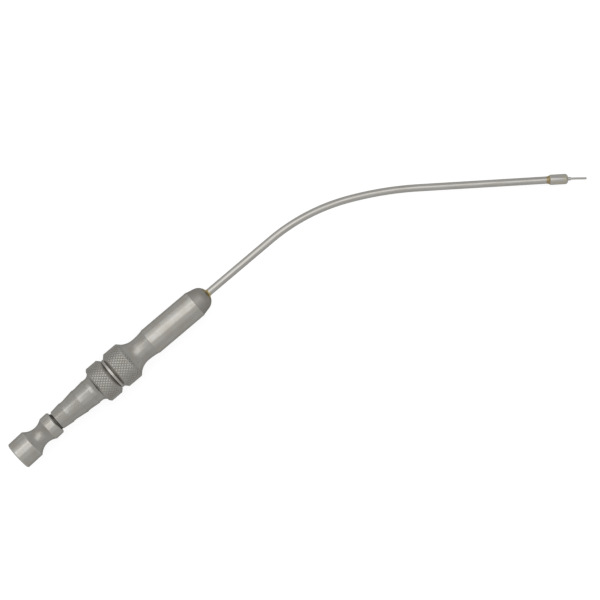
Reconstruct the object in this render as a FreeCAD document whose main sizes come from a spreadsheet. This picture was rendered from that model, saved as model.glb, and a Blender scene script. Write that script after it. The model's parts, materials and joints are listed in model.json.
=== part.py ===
import FreeCAD, Part
import math
import os
import re
from collections import namedtuple

from FreeCAD import Vector
import Sketcher

# A curved suction tip lying on a table: a turned steel handle with a knurled union ring, a stepped
# hose connector screwed into its rear, a bent steel tube brazed into its nose with a small nozzle
# at the far end, and a stylet, a knob on a long thin wire, pushed in from the rear.

doc = FreeCAD.newDocument("suction_tip")

# Every driving size, in millimetres and degrees.
SIZES = [
    # stylet knob and wire
    ("knob_diameter", 10.4),
    ("knob_disc_width", 6.5),
    ("knob_waist_width", 7.4),
    ("knob_waist_radius", 5.65),
    ("knob_flange_diameter", 8.8),
    ("knob_flange_width", 3.4),
    ("knob_edge", 0.3),
    ("knob_flange_edge", 0.4),
    ("knob_spigot_diameter", 4.2),
    ("knob_spigot_length", 2.6),
    ("knob_gap", 0.7),
    ("knob_tilt", 2.2),
    ("wire_diameter", 0.7),
    ("wire_grip", 9.0),
    ("wire_hole_clearance", 0.01),
    ("wire_kink_radius", 20.0),
    ("wire_reach", 3.3),
    ("wire_set_radius", 45.0),
    ("wire_set_angle", 2.7),
    # hose connector
    ("hose_end_diameter", 7.1),
    ("first_barb_diameter", 8.1),
    ("first_barb_length", 4.2),
    ("first_land_diameter", 7.8),
    ("first_land_length", 1.35),
    ("second_barb_diameter", 9.15),
    ("second_barb_length", 4.75),
    ("second_land_diameter", 8.9),
    ("second_land_length", 1.2),
    ("third_barb_diameter", 9.65),
    ("third_barb_length", 3.6),
    ("third_land_diameter", 9.35),
    ("third_land_length", 1.0),
    ("flare_radius", 2.2),
    ("flare_length", 2.0),
    ("hose_end_edge", 0.15),
    ("connector_bore", 3.2),
    ("mouth_diameter", 4.8),
    ("mouth_depth", 4.2),
    # knurled union
    ("ring_diameter", 14.0),
    ("connector_ring_width", 6.1),
    ("ring_edge", 0.65),
    ("union_bevel", 1.05),
    ("union_seam", 0.2),
    ("thread_diameter", 7.9),
    ("thread_length", 7.3),
    ("thread_clearance", 0.05),
    ("thread_relief_depth", 0.45),
    ("thread_relief_width", 0.8),
    ("thread_edge", 0.4),
    ("seal_thickness", 0.8),
    ("seal_diameter", 7.6),
    ("seal_bore", 3.4),
    ("knurl_starts", 40),
    ("knurl_depth", 0.28),
    ("knurl_allowance", 0.02),
    # handle
    ("neck_diameter", 11.6),
    ("neck_length", 0.85),
    ("handle_ring_width", 5.35),
    ("handle_ring_edge", 0.35),
    ("waist_diameter", 8.8),
    ("waist_rear_reach", 5.0),
    ("waist_front_reach", 4.3),
    ("waist_front_diameter", 9.64),
    ("barrel_diameter", 9.9),
    ("barrel_length", 20.1),
    ("nose_root_diameter", 9.62),
    ("nose_cone_length", 2.6),
    ("nose_cone_angle", 13.0),
    ("nose_length", 5.4),
    ("nose_face_diameter", 3.6),
    ("handle_bore", 2.2),
    # suction tube
    ("tube_diameter", 2.5),
    ("tube_bore", 1.9),
    ("tube_seat_depth", 11.9),
    ("braze_clearance", 0.03),
    ("tube_straight", 28.3),
    ("first_bend_radius", 67.8),
    ("first_bend_angle", 25.0),
    ("second_bend_radius", 119.6),
    ("second_bend_angle", 11.8),
    ("tube_end_straight", 48.6),
    # nozzle and braze
    ("nozzle_diameter", 3.5),
    ("nozzle_length", 6.2),
    ("nozzle_rear_edge", 0.15),
    ("nozzle_front_edge", 0.75),
    ("nozzle_front_radius", 1.05),
    ("nozzle_socket_depth", 3.5),
    ("nozzle_funnel_length", 1.0),
    ("nozzle_bore", 0.86),
    ("nipple_diameter", 1.15),
    ("nipple_length", 1.05),
    ("nose_braze_height", 0.5),
    ("nose_braze_length", 0.7),
    ("tip_braze_height", 0.36),
    ("tip_braze_length", 1.2),
    ("tip_braze_radius", 2.4),
]

sheet = doc.addObject("Spreadsheet::Sheet", "Sizes")
for row, (alias, value) in enumerate(SIZES, start=1):
    sheet.set(f"A{row}", alias)
    sheet.set(f"B{row}", str(value))
    sheet.setAlias(f"B{row}", alias)

# Where the lying part's footprint is centred: filled in once the pieces are made.
layout = doc.addObject("Spreadsheet::Sheet", "Layout")
for row, alias in enumerate(("centre_x", "centre_y"), start=1):
    layout.set(f"B{row}", "0")
    layout.setAlias(f"B{row}", alias)
doc.recompute()

ALIASES = re.compile(r"\b(" + "|".join(name for name, _ in SIZES) + r")\b")


def tied(formula):
    """A formula written with bare size names, with the sheet named before each."""
    return ALIASES.sub(r"Sizes.\1", formula)


def value_of(formula):
    """The number that a formula gives with the present sizes."""
    result = sheet.evalExpression(formula)
    return float(getattr(result, "Value", result))


def origin_plane(body, role):
    """One of a body's own three origin planes."""
    return next(plane for plane in body.Origin.OriginFeatures if plane.Role == role)


def new_sketch(body, name, role):
    """An empty sketch lying flat on one of the body's origin planes."""
    sketch = body.newObject("Sketcher::SketchObject", name)
    sketch.AttachmentSupport = [(origin_plane(body, role), "")]
    sketch.MapMode = "FlatFace"
    return sketch


def constrain(sketch, kind, *args, formula=None):
    """Add a constraint and, where it has a size, tie it to the sheet."""
    index = sketch.addConstraint(Sketcher.Constraint(kind, *args))
    if formula is not None:
        name = f"{kind.lower()}_{index}"
        sketch.renameConstraint(index, name)
        sketch.setExpression(f"Constraints.{name}", tied(formula))


# A corner of a turned outline: how far along the axis, how far from it, and for the stretch that
# ends there either nothing (straight), a radius, or "tangent" to the stretch before. A hollow arc
# dips towards the axis.
Corner = namedtuple("Corner", "along out arc hollow", defaults=(None, False))


def arc_centre(start, end, radius, hollow):
    """Centre of the arc from start to end that dips towards the axis (hollow) or swells out."""
    chord = end - start
    side = Vector(-chord.y, chord.x, 0).normalize()
    if (side.y > 0) != hollow:
        side = side * -1
    reach = math.sqrt(max(radius ** 2 - (chord.Length / 2) ** 2, 0))
    return (start + end) * 0.5 + side * reach


def tangent_radius(before, start, end):
    """Radius of the arc that leaves start in line with the stretch before it and meets end."""
    chord = end - start
    turn = chord.getAngle(start - before)
    return chord.Length / (2 * math.sin(turn))


def short_arc(start, end, centre):
    """The shorter arc about a centre between two points, drawn anticlockwise as sketches need."""
    first = start - centre
    last = end - centre
    if first.cross(last).z < 0:
        first, last = last, first
    circle = Part.Circle(centre, Vector(0, 0, 1), first.Length)
    from_angle = math.atan2(first.y, first.x)
    to_angle = math.atan2(last.y, last.x)
    if to_angle < from_angle:
        to_angle += 2 * math.pi
    return Part.ArcOfCircle(circle, from_angle, to_angle)


def turned(name, corners):
    """A body turned from a closed outline drawn beside its own X axis."""
    body = doc.addObject("PartDesign::Body", name)
    sketch = new_sketch(body, name + "_outline", "XY_Plane")
    points = [Vector(value_of(c.along), value_of(c.out), 0) for c in corners]
    count = len(corners)
    for index, corner in enumerate(corners):
        start = points[index - 1]
        end = points[index]
        if corner.arc is None:
            sketch.addGeometry(Part.LineSegment(start, end))
            continue
        if corner.arc == "tangent":
            radius = tangent_radius(points[index - 2], start, end)
        else:
            radius = value_of(corner.arc)
        arc = short_arc(start, end, arc_centre(start, end, radius, corner.hollow))
        sketch.addGeometry(arc)
    ends = [end_markers(sketch, index, points[index - 1]) for index in range(count)]
    for index, corner in enumerate(corners):
        following = (index + 1) % count
        joint = "Tangent" if corners[following].arc == "tangent" else "Coincident"
        finish = ends[index][1]
        place = points[index]
        constrain(sketch, joint, index, finish, following, ends[following][0])
        constrain(sketch, "DistanceX", -1, 1, index, finish, place.x, formula=corner.along)
        if place.y == 0:
            constrain(sketch, "PointOnObject", index, finish, -1)
        else:
            constrain(sketch, "DistanceY", -1, 1, index, finish, place.y, formula=corner.out)
        if corner.arc not in (None, "tangent"):
            constrain(sketch, "Radius", index, value_of(corner.arc), formula=corner.arc)
    turning = body.newObject("PartDesign::Revolution", name + "_turning")
    turning.Profile = sketch
    turning.ReferenceAxis = (sketch, ["H_Axis"])
    turning.Angle = 360
    sketch.Visibility = False
    body.Tip = turning
    return body


def end_markers(sketch, index, start):
    """Which end of a line or arc (1 or 2) lies at start, and which is the other."""
    geometry = sketch.Geometry[index]
    if (geometry.StartPoint - start).Length < 1e-6:
        return 1, 2
    return 2, 1


# One move along a tube's centre line: a straight run, or a bend of a radius and an angle. A positive
# angle turns to the right, seen from above.
Move = namedtuple("Move", "length angle", defaults=(None,))


def route_end(moves):
    """Formulas for where a route starting along +X ends, and for how far it has turned."""
    along = []
    across = []
    turned_by = "0"
    for move in moves:
        if move.angle is None:
            along.append(f"{move.length} * cos({turned_by})")
            across.append(f"0 - {move.length} * sin({turned_by})")
            continue
        after = f"{turned_by} + {move.angle}"
        along.append(f"{move.length} * (sin({after}) - sin({turned_by}))")
        across.append(f"{move.length} * (cos({after}) - cos({turned_by}))")
        turned_by = after
    return " + ".join(along), " + ".join(across), turned_by


def draw_route(sketch, moves):
    """Runs and tangent bends one after another, from the sketch's origin along +X."""
    place = Vector(0, 0, 0)
    heading = 0.0
    last_end = None
    for index, move in enumerate(moves):
        length = value_of(move.length)
        forward = Vector(math.cos(heading), math.sin(heading), 0)
        if move.angle is None:
            target = place + forward * length
            sketch.addGeometry(Part.LineSegment(place, target))
        else:
            turn = math.radians(value_of(move.angle))
            side = math.copysign(1, turn)
            centre = place + Vector(forward.y, -forward.x, 0) * side * length
            after = heading - turn
            target = centre + Vector(-math.sin(after), math.cos(after), 0) * side * length
            sketch.addGeometry(short_arc(place, target, centre))
        begin, finish = end_markers(sketch, index, place)
        if index == 0:
            constrain(sketch, "Coincident", index, begin, -1, 1)
            constrain(sketch, "Horizontal", index)
        else:
            constrain(sketch, "Tangent", index - 1, last_end, index, begin)
        if move.angle is None:
            constrain(sketch, "Distance", index, length, formula=move.length)
        else:
            constrain(sketch, "Radius", index, length, formula=move.length)
            constrain(sketch, "Angle", index, abs(turn), formula=f"{move.angle} * 1 deg")
        place = target
        heading = heading if move.angle is None else after
        last_end = finish


def drawn_tube(name, moves, diameters):
    """A round wire, or with two diameters a tube, swept along a route that starts along +X."""
    body = doc.addObject("PartDesign::Body", name)
    route = new_sketch(body, name + "_route", "XY_Plane")
    draw_route(route, moves)
    section = new_sketch(body, name + "_section", "YZ_Plane")
    for index, diameter in enumerate(diameters):
        radius = value_of(diameter) / 2
        section.addGeometry(Part.Circle(Vector(0, 0, 0), Vector(0, 0, 1), radius))
        constrain(section, "Coincident", index, 3, -1, 1)
        constrain(section, "Radius", index, radius, formula=f"{diameter} / 2")
    doc.recompute()
    sweep = body.newObject("PartDesign::AdditivePipe", name + "_sweep")
    sweep.Profile = section
    sweep.Spine = (route, [f"Edge{number}" for number in range(1, len(moves) + 1)])
    route.Visibility = False
    section.Visibility = False
    body.Tip = sweep
    return body


# The part is built along the handle's axis, +X towards the tip, from the seam of the union, and
# then lies down: both knurled rings touch the table, and the bent tube rolls the handle until the
# nozzle's lower edge touches it too.
TUBE_ROUTE = [
    Move("(tube_seat_depth + tube_straight)"),
    Move("first_bend_radius", "first_bend_angle"),
    Move("second_bend_radius", "second_bend_angle"),
    Move("tube_end_straight"),
]
NOSE_FRONT = (
    "(neck_length + (ring_diameter - neck_diameter) / 2 + handle_ring_width + handle_ring_edge"
    " + waist_rear_reach + waist_front_reach + barrel_length + nose_length)"
)
TUBE_START = f"({NOSE_FRONT} - tube_seat_depth)"
tube_end_x, tube_end_y, tube_turn = route_end(TUBE_ROUTE)
NOZZLE_X = f"({TUBE_START} + {tube_end_x})"
NOZZLE_Y = f"({tube_end_y})"

TIP_SIDE = (
    f"(0 - {NOZZLE_Y}"
    f" + (nozzle_length - nozzle_front_edge - nozzle_socket_depth) * sin({tube_turn}))"
)
REST_ROLL = f"asin((ring_diameter - nozzle_diameter) / 2 / {TIP_SIDE})"
LYING = (
    "create(<<placement>>; create(<<vector>>; 0 - Layout.centre_x; 0 - Layout.centre_y;"
    f" ring_diameter / 2); create(<<rotation>>; create(<<vector>>; 1; 0; 0); {REST_ROLL}))"
)


def lay_down(piece, along, across="0", turn="0"):
    """Tie a piece's place: along and across from the union's seam, turned left, then lying."""
    own = (
        f"create(<<placement>>; create(<<vector>>; {along}; {across}; 0);"
        f" create(<<rotation>>; create(<<vector>>; 0; 0; 1); {turn}))"
    )
    piece.setExpression("Placement", tied(f"{LYING} * {own}"))


def knurl_row_step():
    """Axial distance from a row of diamond peaks to the next, for grooves at 45 degrees."""
    return math.pi * value_of("ring_diameter") / 2 / value_of("knurl_starts")


SLEEVE_WALL = 1.0


def knurl_sleeve(width):
    """What the knurling tool displaces from a ring: a sleeve whose inside is a mesh of diamonds."""
    peak = value_of("ring_diameter") / 2
    root = peak - value_of("knurl_depth")
    columns = 2 * round(value_of("knurl_starts"))
    row_step = knurl_row_step()
    # an even count, with at least half a row to spare past each end of the ring
    rows = 2 * math.ceil(width / row_step / 2 + 0.5)
    first = (width - rows * row_step) / 2

    def lattice(column, row):
        angle = 2 * math.pi * column / columns
        out = peak if (column + row) % 2 == 0 else root
        return Vector(first + row * row_step, out * math.cos(angle), out * math.sin(angle))

    faces = []
    for row in range(rows):
        for column in range(columns):
            corners = [
                lattice(column, row),
                lattice(column + 1, row),
                lattice(column + 1, row + 1),
                lattice(column, row + 1),
            ]
            # each cell folds along the groove that joins its two low corners
            high = (column + row) % 2
            for peak_corner in (high, high + 2):
                trio = [corners[(peak_corner + shift) % 4] for shift in (-1, 0, 1)]
                faces.append(Part.Face(Part.makePolygon(trio + trio[:1])))

    axis = Vector(1, 0, 0)
    outside = peak + SLEEVE_WALL
    for row in (0, rows):
        zigzag = Part.makePolygon([lattice(column, row) for column in range(columns)] + [lattice(0, row)])
        rim = Part.Wire(Part.makeCircle(outside, Vector(first + row * row_step, 0, 0), axis))
        faces.append(Part.makeFace([rim, zigzag], "Part::FaceMakerBullseye"))
    drum = Part.makeCylinder(outside, rows * row_step, Vector(first, 0, 0), axis)
    faces.append(next(face for face in drum.Faces if face.Surface.TypeId == "Part::GeomCylinder"))
    shell = Part.makeShell(faces)
    shell.sewShape()
    return Part.makeSolid(shell)


def knurled(name, blank, ring_start, ring_width):
    """A turned blank with its ring knurled: the blank less the sleeve of displaced metal."""
    sleeve = doc.addObject("Part::Feature", name + "_knurl")
    sleeve.Shape = knurl_sleeve(value_of(ring_width))
    sleeve.setExpression("Placement.Base.x", tied(ring_start))
    piece = doc.addObject("Part::Cut", name)
    piece.Base = blank
    piece.Tool = sleeve
    return piece


# Handle: one bar turned down, the knurled ring at its rear bored for the connector's thread, a
# waist for the finger, a plain barrel and a bullet nose bored for the tube.
RING_OUT = "(ring_diameter / 2 + knurl_allowance)"
NECK_STEP = "(ring_diameter - neck_diameter) / 2"
HANDLE_RING_START = f"(neck_length + {NECK_STEP})"
HANDLE_RING_END = f"({HANDLE_RING_START} + handle_ring_width)"
WAIST_START = f"({HANDLE_RING_END} + handle_ring_edge)"
WAIST = f"({WAIST_START} + waist_rear_reach)"
BARREL_START = f"({WAIST} + waist_front_reach)"
BARREL_END = f"({BARREL_START} + barrel_length)"
REAR_DROP = "(ring_diameter / 2 - handle_ring_edge - waist_diameter / 2)"
FRONT_RISE = "((waist_front_diameter - waist_diameter) / 2)"
NOSE_CONE_OUT = "nose_root_diameter / 2 - nose_cone_length * tan(nose_cone_angle)"
SOCKET_DEPTH = "(thread_length - union_seam + seal_thickness)"
SOCKET_OUT = "(thread_diameter / 2 + thread_clearance)"
TUBE_SOCKET_OUT = "tube_diameter / 2 + braze_clearance"

handle_blank = turned("handle_blank", [
    Corner("0", f"{SOCKET_OUT} + thread_edge"),
    Corner("0", "neck_diameter / 2"),
    Corner("neck_length", "neck_diameter / 2"),
    Corner(f"{HANDLE_RING_START} + knurl_allowance", RING_OUT),
    Corner(f"{HANDLE_RING_END} - knurl_allowance", RING_OUT),
    Corner(WAIST_START, "ring_diameter / 2 - handle_ring_edge"),
    Corner(WAIST, "waist_diameter / 2",
           f"(waist_rear_reach ^ 2 + {REAR_DROP} ^ 2) / (2 * {REAR_DROP})", hollow=True),
    Corner(BARREL_START, "waist_front_diameter / 2",
           f"(waist_front_reach ^ 2 + {FRONT_RISE} ^ 2) / (2 * {FRONT_RISE})", hollow=True),
    Corner(BARREL_START, "barrel_diameter / 2"),
    Corner(BARREL_END, "barrel_diameter / 2"),
    Corner(BARREL_END, "nose_root_diameter / 2"),
    Corner(f"{BARREL_END} + nose_cone_length", NOSE_CONE_OUT),
    Corner(NOSE_FRONT, "nose_face_diameter / 2", "tangent"),
    Corner(NOSE_FRONT, TUBE_SOCKET_OUT),
    Corner(TUBE_START, TUBE_SOCKET_OUT),
    Corner(TUBE_START, "handle_bore / 2"),
    Corner(SOCKET_DEPTH, "handle_bore / 2"),
    Corner(SOCKET_DEPTH, SOCKET_OUT),
    Corner("thread_edge", SOCKET_OUT),
])

# Hose connector: one bar turned to a cone of three steps that hold the suction hose, a knurled ring
# and a short thread that screws into the handle. It is bored through, with a wider mouth at the
# rear that takes the stylet knob's spigot.
FIRST_LAND = "(first_barb_length + first_land_length)"
SECOND_BARB = f"({FIRST_LAND} + second_barb_length)"
SECOND_LAND = f"({SECOND_BARB} + second_land_length)"
THIRD_BARB = f"({SECOND_LAND} + third_barb_length)"
THIRD_LAND = f"({THIRD_BARB} + third_land_length)"
CONNECTOR_RING = f"({THIRD_LAND} + flare_length)"
CONNECTOR_FACE = f"({CONNECTOR_RING} + connector_ring_width)"
FLARE_OUT = "third_land_diameter / 2 + flare_radius - sqrt(flare_radius ^ 2 - flare_length ^ 2)"
RELIEF_OUT = "thread_diameter / 2 - thread_relief_depth"
MOUTH_FUNNEL = "(mouth_diameter - connector_bore) / 2"

connector_blank = turned("connector_blank", [
    Corner("0", "mouth_diameter / 2"),
    Corner("0", "hose_end_diameter / 2 - hose_end_edge"),
    Corner("hose_end_edge", "hose_end_diameter / 2"),
    Corner("first_barb_length", "first_barb_diameter / 2"),
    Corner("first_barb_length", "first_land_diameter / 2"),
    Corner(FIRST_LAND, "first_land_diameter / 2"),
    Corner(SECOND_BARB, "second_barb_diameter / 2"),
    Corner(SECOND_BARB, "second_land_diameter / 2"),
    Corner(SECOND_LAND, "second_land_diameter / 2"),
    Corner(THIRD_BARB, "third_barb_diameter / 2"),
    Corner(THIRD_BARB, "third_land_diameter / 2"),
    Corner(THIRD_LAND, "third_land_diameter / 2"),
    Corner(CONNECTOR_RING, FLARE_OUT, "flare_radius", hollow=True),
    Corner(CONNECTOR_RING, "ring_diameter / 2 - ring_edge"),
    Corner(f"{CONNECTOR_RING} + ring_edge + knurl_allowance", RING_OUT),
    Corner(f"{CONNECTOR_FACE} - union_bevel - knurl_allowance", RING_OUT),
    Corner(CONNECTOR_FACE, "ring_diameter / 2 - union_bevel"),
    Corner(CONNECTOR_FACE, RELIEF_OUT),
    Corner(f"{CONNECTOR_FACE} + thread_relief_width", RELIEF_OUT),
    Corner(f"{CONNECTOR_FACE} + thread_relief_width + thread_relief_depth", "thread_diameter / 2"),
    Corner(f"{CONNECTOR_FACE} + thread_length - thread_edge", "thread_diameter / 2"),
    Corner(f"{CONNECTOR_FACE} + thread_length", "thread_diameter / 2 - thread_edge"),
    Corner(f"{CONNECTOR_FACE} + thread_length", "connector_bore / 2"),
    Corner(f"mouth_depth + {MOUTH_FUNNEL}", "connector_bore / 2"),
    Corner("mouth_depth", "mouth_diameter / 2"),
])
CONNECTOR_REAR = f"(0 - union_seam - {CONNECTOR_FACE})"

# Union seal: a flat washer squeezed between the thread's end and the floor of the handle's socket.
union_seal = turned("union_seal", [
    Corner("0", "seal_bore / 2"),
    Corner("0", "seal_diameter / 2"),
    Corner("seal_thickness", "seal_diameter / 2"),
    Corner("seal_thickness", "seal_bore / 2"),
])
lay_down(union_seal, "thread_length - union_seam")

# Suction tube: drawn steel tube, straight out of the handle, then bent to the right in two sweeps.
suction_tube = drawn_tube("suction_tube", TUBE_ROUTE, ["tube_diameter", "tube_bore"])
lay_down(suction_tube, TUBE_START)

# Nose braze: the fillet of gold-coloured braze metal where the tube leaves the nose.
nose_braze = turned("nose_braze", [
    Corner("0", "tube_diameter / 2"),
    Corner("0", "tube_diameter / 2 + nose_braze_height"),
    Corner("nose_braze_length", "tube_diameter / 2", "nose_braze_length", hollow=True),
])
lay_down(nose_braze, NOSE_FRONT)

# Tip nozzle: a turned sleeve brazed over the end of the tube, its bore drawn in to a fine nipple.
NOZZLE_FLOOR = "(nozzle_socket_depth + nozzle_funnel_length)"
tip_nozzle = turned("tip_nozzle", [
    Corner("0", TUBE_SOCKET_OUT),
    Corner("0", "nozzle_diameter / 2 - nozzle_rear_edge"),
    Corner("nozzle_rear_edge", "nozzle_diameter / 2"),
    Corner("nozzle_length - nozzle_front_edge", "nozzle_diameter / 2"),
    Corner("nozzle_length", "nozzle_diameter / 2 - nozzle_front_edge", "nozzle_front_radius"),
    Corner("nozzle_length", "nipple_diameter / 2"),
    Corner("nozzle_length + nipple_length", "nipple_diameter / 2"),
    Corner("nozzle_length + nipple_length", "nozzle_bore / 2"),
    Corner(NOZZLE_FLOOR, "nozzle_bore / 2"),
    Corner("nozzle_socket_depth", "tube_bore / 2"),
    Corner("nozzle_socket_depth", TUBE_SOCKET_OUT),
])
NOZZLE_BACK = "(0 - nozzle_socket_depth)"
lay_down(
    tip_nozzle,
    f"{NOZZLE_X} + {NOZZLE_BACK} * cos({tube_turn})",
    f"{NOZZLE_Y} - {NOZZLE_BACK} * sin({tube_turn})",
    f"0 - ({tube_turn})",
)

# Tip braze: the same gold-coloured metal, drawn out along the tube behind the nozzle.
tip_braze = turned("tip_braze", [
    Corner("0", "tube_diameter / 2"),
    Corner("tip_braze_length", "tube_diameter / 2 + tip_braze_height", "tip_braze_radius", hollow=True),
    Corner("tip_braze_length", "tube_diameter / 2"),
])
BRAZE_BACK = "(0 - nozzle_socket_depth - tip_braze_length)"
lay_down(
    tip_braze,
    f"{NOZZLE_X} + {BRAZE_BACK} * cos({tube_turn})",
    f"{NOZZLE_Y} - {BRAZE_BACK} * sin({tube_turn})",
    f"0 - ({tube_turn})",
)

# Stylet knob: a spool turned from bar, its spigot loose in the connector's mouth, so that the knob
# sits a little askew. The wire is fixed in a blind hole.
KNOB_WAIST_END = "(knob_disc_width + knob_waist_width)"
KNOB_FRONT = f"({KNOB_WAIST_END} + knob_flange_width)"
SPIGOT_FRONT = f"({KNOB_FRONT} + knob_spigot_length)"
WIRE_HOLE_OUT = "(wire_diameter / 2 + wire_hole_clearance)"
stylet_knob = turned("stylet_knob", [
    Corner("0", "0"),
    Corner("0", "knob_diameter / 2 - knob_edge"),
    Corner("knob_edge", "knob_diameter / 2"),
    Corner("knob_disc_width", "knob_diameter / 2"),
    Corner(KNOB_WAIST_END, "knob_flange_diameter / 2", "knob_waist_radius", hollow=True),
    Corner(f"{KNOB_FRONT} - knob_flange_edge", "knob_flange_diameter / 2"),
    Corner(KNOB_FRONT, "knob_flange_diameter / 2 - knob_flange_edge"),
    Corner(KNOB_FRONT, "knob_spigot_diameter / 2"),
    Corner(f"{SPIGOT_FRONT} - knob_edge", "knob_spigot_diameter / 2"),
    Corner(SPIGOT_FRONT, "knob_spigot_diameter / 2 - knob_edge"),
    Corner(SPIGOT_FRONT, WIRE_HOLE_OUT),
    Corner(f"{SPIGOT_FRONT} - wire_grip", WIRE_HOLE_OUT),
    Corner(f"{SPIGOT_FRONT} - wire_grip", "0"),
])
# the knob's axis crosses the handle's where the wire's kink would have its corner
KINK_REACH = "wire_kink_radius * tan(knob_tilt / 2)"
PIVOT = f"({CONNECTOR_REAR} - knob_gap + knob_spigot_length + {KINK_REACH})"
KNOB_ARM = f"({SPIGOT_FRONT} + {KINK_REACH})"
lay_down(
    stylet_knob,
    f"{PIVOT} - {KNOB_ARM} * cos(knob_tilt)",
    f"0 - {KNOB_ARM} * sin(knob_tilt)",
    "knob_tilt",
)

# Stylet wire: one length of spring wire from the knob, through the connector, handle and tube, to
# just past the nozzle, where it has taken a slight set.
WIRE_ARM = f"(wire_grip + {KINK_REACH})"
WIRE_STRAIGHT = f"({TUBE_START} + tube_seat_depth + tube_straight - {PIVOT} - {KINK_REACH})"
WIRE_LEFT = "(tube_end_straight - nozzle_socket_depth + nozzle_length + nipple_length)"
stylet_wire = drawn_tube(
    "stylet_wire",
    [
        Move("wire_grip"),
        Move("wire_kink_radius", "knob_tilt"),
        Move(WIRE_STRAIGHT),
        Move("first_bend_radius", "first_bend_angle"),
        Move("second_bend_radius", "second_bend_angle"),
        Move(WIRE_LEFT),
        Move("wire_set_radius", "wire_set_angle"),
        Move("wire_reach"),
    ],
    ["wire_diameter"],
)
lay_down(
    stylet_wire,
    f"{PIVOT} - {WIRE_ARM} * cos(knob_tilt)",
    f"0 - {WIRE_ARM} * sin(knob_tilt)",
    "knob_tilt",
)

# The origin is under the middle of the footprint, which the knob, the wire's end and the rings set.
doc.recompute()
reach = FreeCAD.BoundBox()
for piece in (stylet_knob, stylet_wire, tip_nozzle):
    reach.add(piece.Shape.optimalBoundingBox(False, False))
layout.set("B1", str(round(reach.Center.x, 3)))
layout.set("B2", str(round((value_of("ring_diameter / 2") + reach.YMin) / 2, 3)))

# Both rings are knurled last, on the turned blanks.
handle_body = knurled("handle_body", handle_blank, HANDLE_RING_START, "handle_ring_width")
lay_down(handle_body, "0")
hose_connector = knurled("hose_connector", connector_blank, CONNECTOR_RING, "connector_ring_width")
lay_down(hose_connector, CONNECTOR_REAR)
doc.recompute()

PIECES = [
    stylet_knob,
    stylet_wire,
    hose_connector,
    union_seal,
    handle_body,
    nose_braze,
    suction_tube,
    tip_braze,
    tip_nozzle,
]
for item in doc.Objects:
    if {"Invalid", "Error"} & set(item.State):
        raise RuntimeError(f"{item.Label} failed: {item.State}")
for piece in PIECES:
    if piece.Shape.isNull() or not piece.Shape.isValid() or len(piece.Shape.Solids) != 1:
        raise RuntimeError(f"{piece.Label} is not one valid solid")

os.makedirs("parts", exist_ok=True)
for piece in PIECES:
    piece.Shape.exportStep(f"parts/{piece.Label}.step")
    box = piece.Shape.BoundBox
    extents = f"{box.XLength:.2f} x {box.YLength:.2f} x {box.ZLength:.2f} mm"
    print(f"{piece.Label}: {piece.Shape.Volume:.2f} mm3, {extents}")
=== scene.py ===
import json
import math

import bmesh
import bpy
from mathutils import Euler, Matrix, Vector, noise


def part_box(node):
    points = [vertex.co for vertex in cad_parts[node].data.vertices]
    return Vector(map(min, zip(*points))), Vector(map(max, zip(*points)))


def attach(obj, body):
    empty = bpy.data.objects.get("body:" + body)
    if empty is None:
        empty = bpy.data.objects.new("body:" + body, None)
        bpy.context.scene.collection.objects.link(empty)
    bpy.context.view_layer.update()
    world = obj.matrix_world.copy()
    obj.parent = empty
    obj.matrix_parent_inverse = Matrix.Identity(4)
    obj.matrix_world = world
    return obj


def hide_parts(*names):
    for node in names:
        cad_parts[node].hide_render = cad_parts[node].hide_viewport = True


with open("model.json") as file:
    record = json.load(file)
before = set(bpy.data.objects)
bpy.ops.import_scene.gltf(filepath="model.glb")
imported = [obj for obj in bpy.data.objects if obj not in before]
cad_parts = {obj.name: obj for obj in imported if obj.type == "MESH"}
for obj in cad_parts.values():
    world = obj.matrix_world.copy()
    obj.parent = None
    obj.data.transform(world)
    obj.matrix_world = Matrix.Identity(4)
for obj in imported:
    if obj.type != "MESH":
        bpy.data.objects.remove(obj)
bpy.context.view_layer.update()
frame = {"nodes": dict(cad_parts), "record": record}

# Handle: one stainless bar turned down to a knurled union ring, a waist for the finger, a plain
# barrel and a bullet nose, then bored through. The turned faces are left satin, with the fine marks
# of the tool round them, and the ring has a diamond knurl pressed into it.

# Each piece is drawn in millimetres along the handle's axis, from the seam of the union towards the
# tip, with the tube's bend to the right. This lays it down as the frame has it.
mounts = {mount["name"]: mount for mount in frame["record"]["mounts"]}
on_axis = Vector(mounts["barrel"]["pos_m"])
towards_tip = Vector(mounts["nozzle"]["pos_m"]) - on_axis
towards_tip.x = 0
left = -towards_tip.normalized()
forward = Vector((1, 0, 0))
upward = forward.cross(left)
seam = Vector((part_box("handle_body")[0].x, on_axis.y, on_axis.z))
MM = 0.001
facing = Matrix((forward, left, upward)).transposed().to_4x4()
LYING = Matrix.Translation(seam) @ facing @ Matrix.Scale(MM, 4)

ARC_STEP = math.radians(5)
EDGE_STEPS = 4
EDGE_SHARE = 0.3
EDGE_HOLD = 1.4
SIDES = 288
POLE_OUT = 1e-6


def arc_between(start, end, radius):
    """Points between start and end on an arc; a negative radius dips towards the axis."""
    chord = end - start
    side = Vector((-chord.y, chord.x)).normalized()
    if (side.y > 0) != (radius < 0):
        side = -side
    reach = math.sqrt(max(radius ** 2 - (chord.length / 2) ** 2, 0))
    centre = (start + end) / 2 + side * reach
    first = math.atan2(start.y - centre.y, start.x - centre.x)
    last = math.atan2(end.y - centre.y, end.x - centre.x)
    turn = (last - first + math.pi) % (2 * math.pi) - math.pi
    count = max(3, math.ceil(abs(turn) / ARC_STEP))
    angles = [first + turn * step / count for step in range(1, count)]
    return [centre + abs(radius) * Vector((math.cos(a), math.sin(a))) for a in angles]


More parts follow.
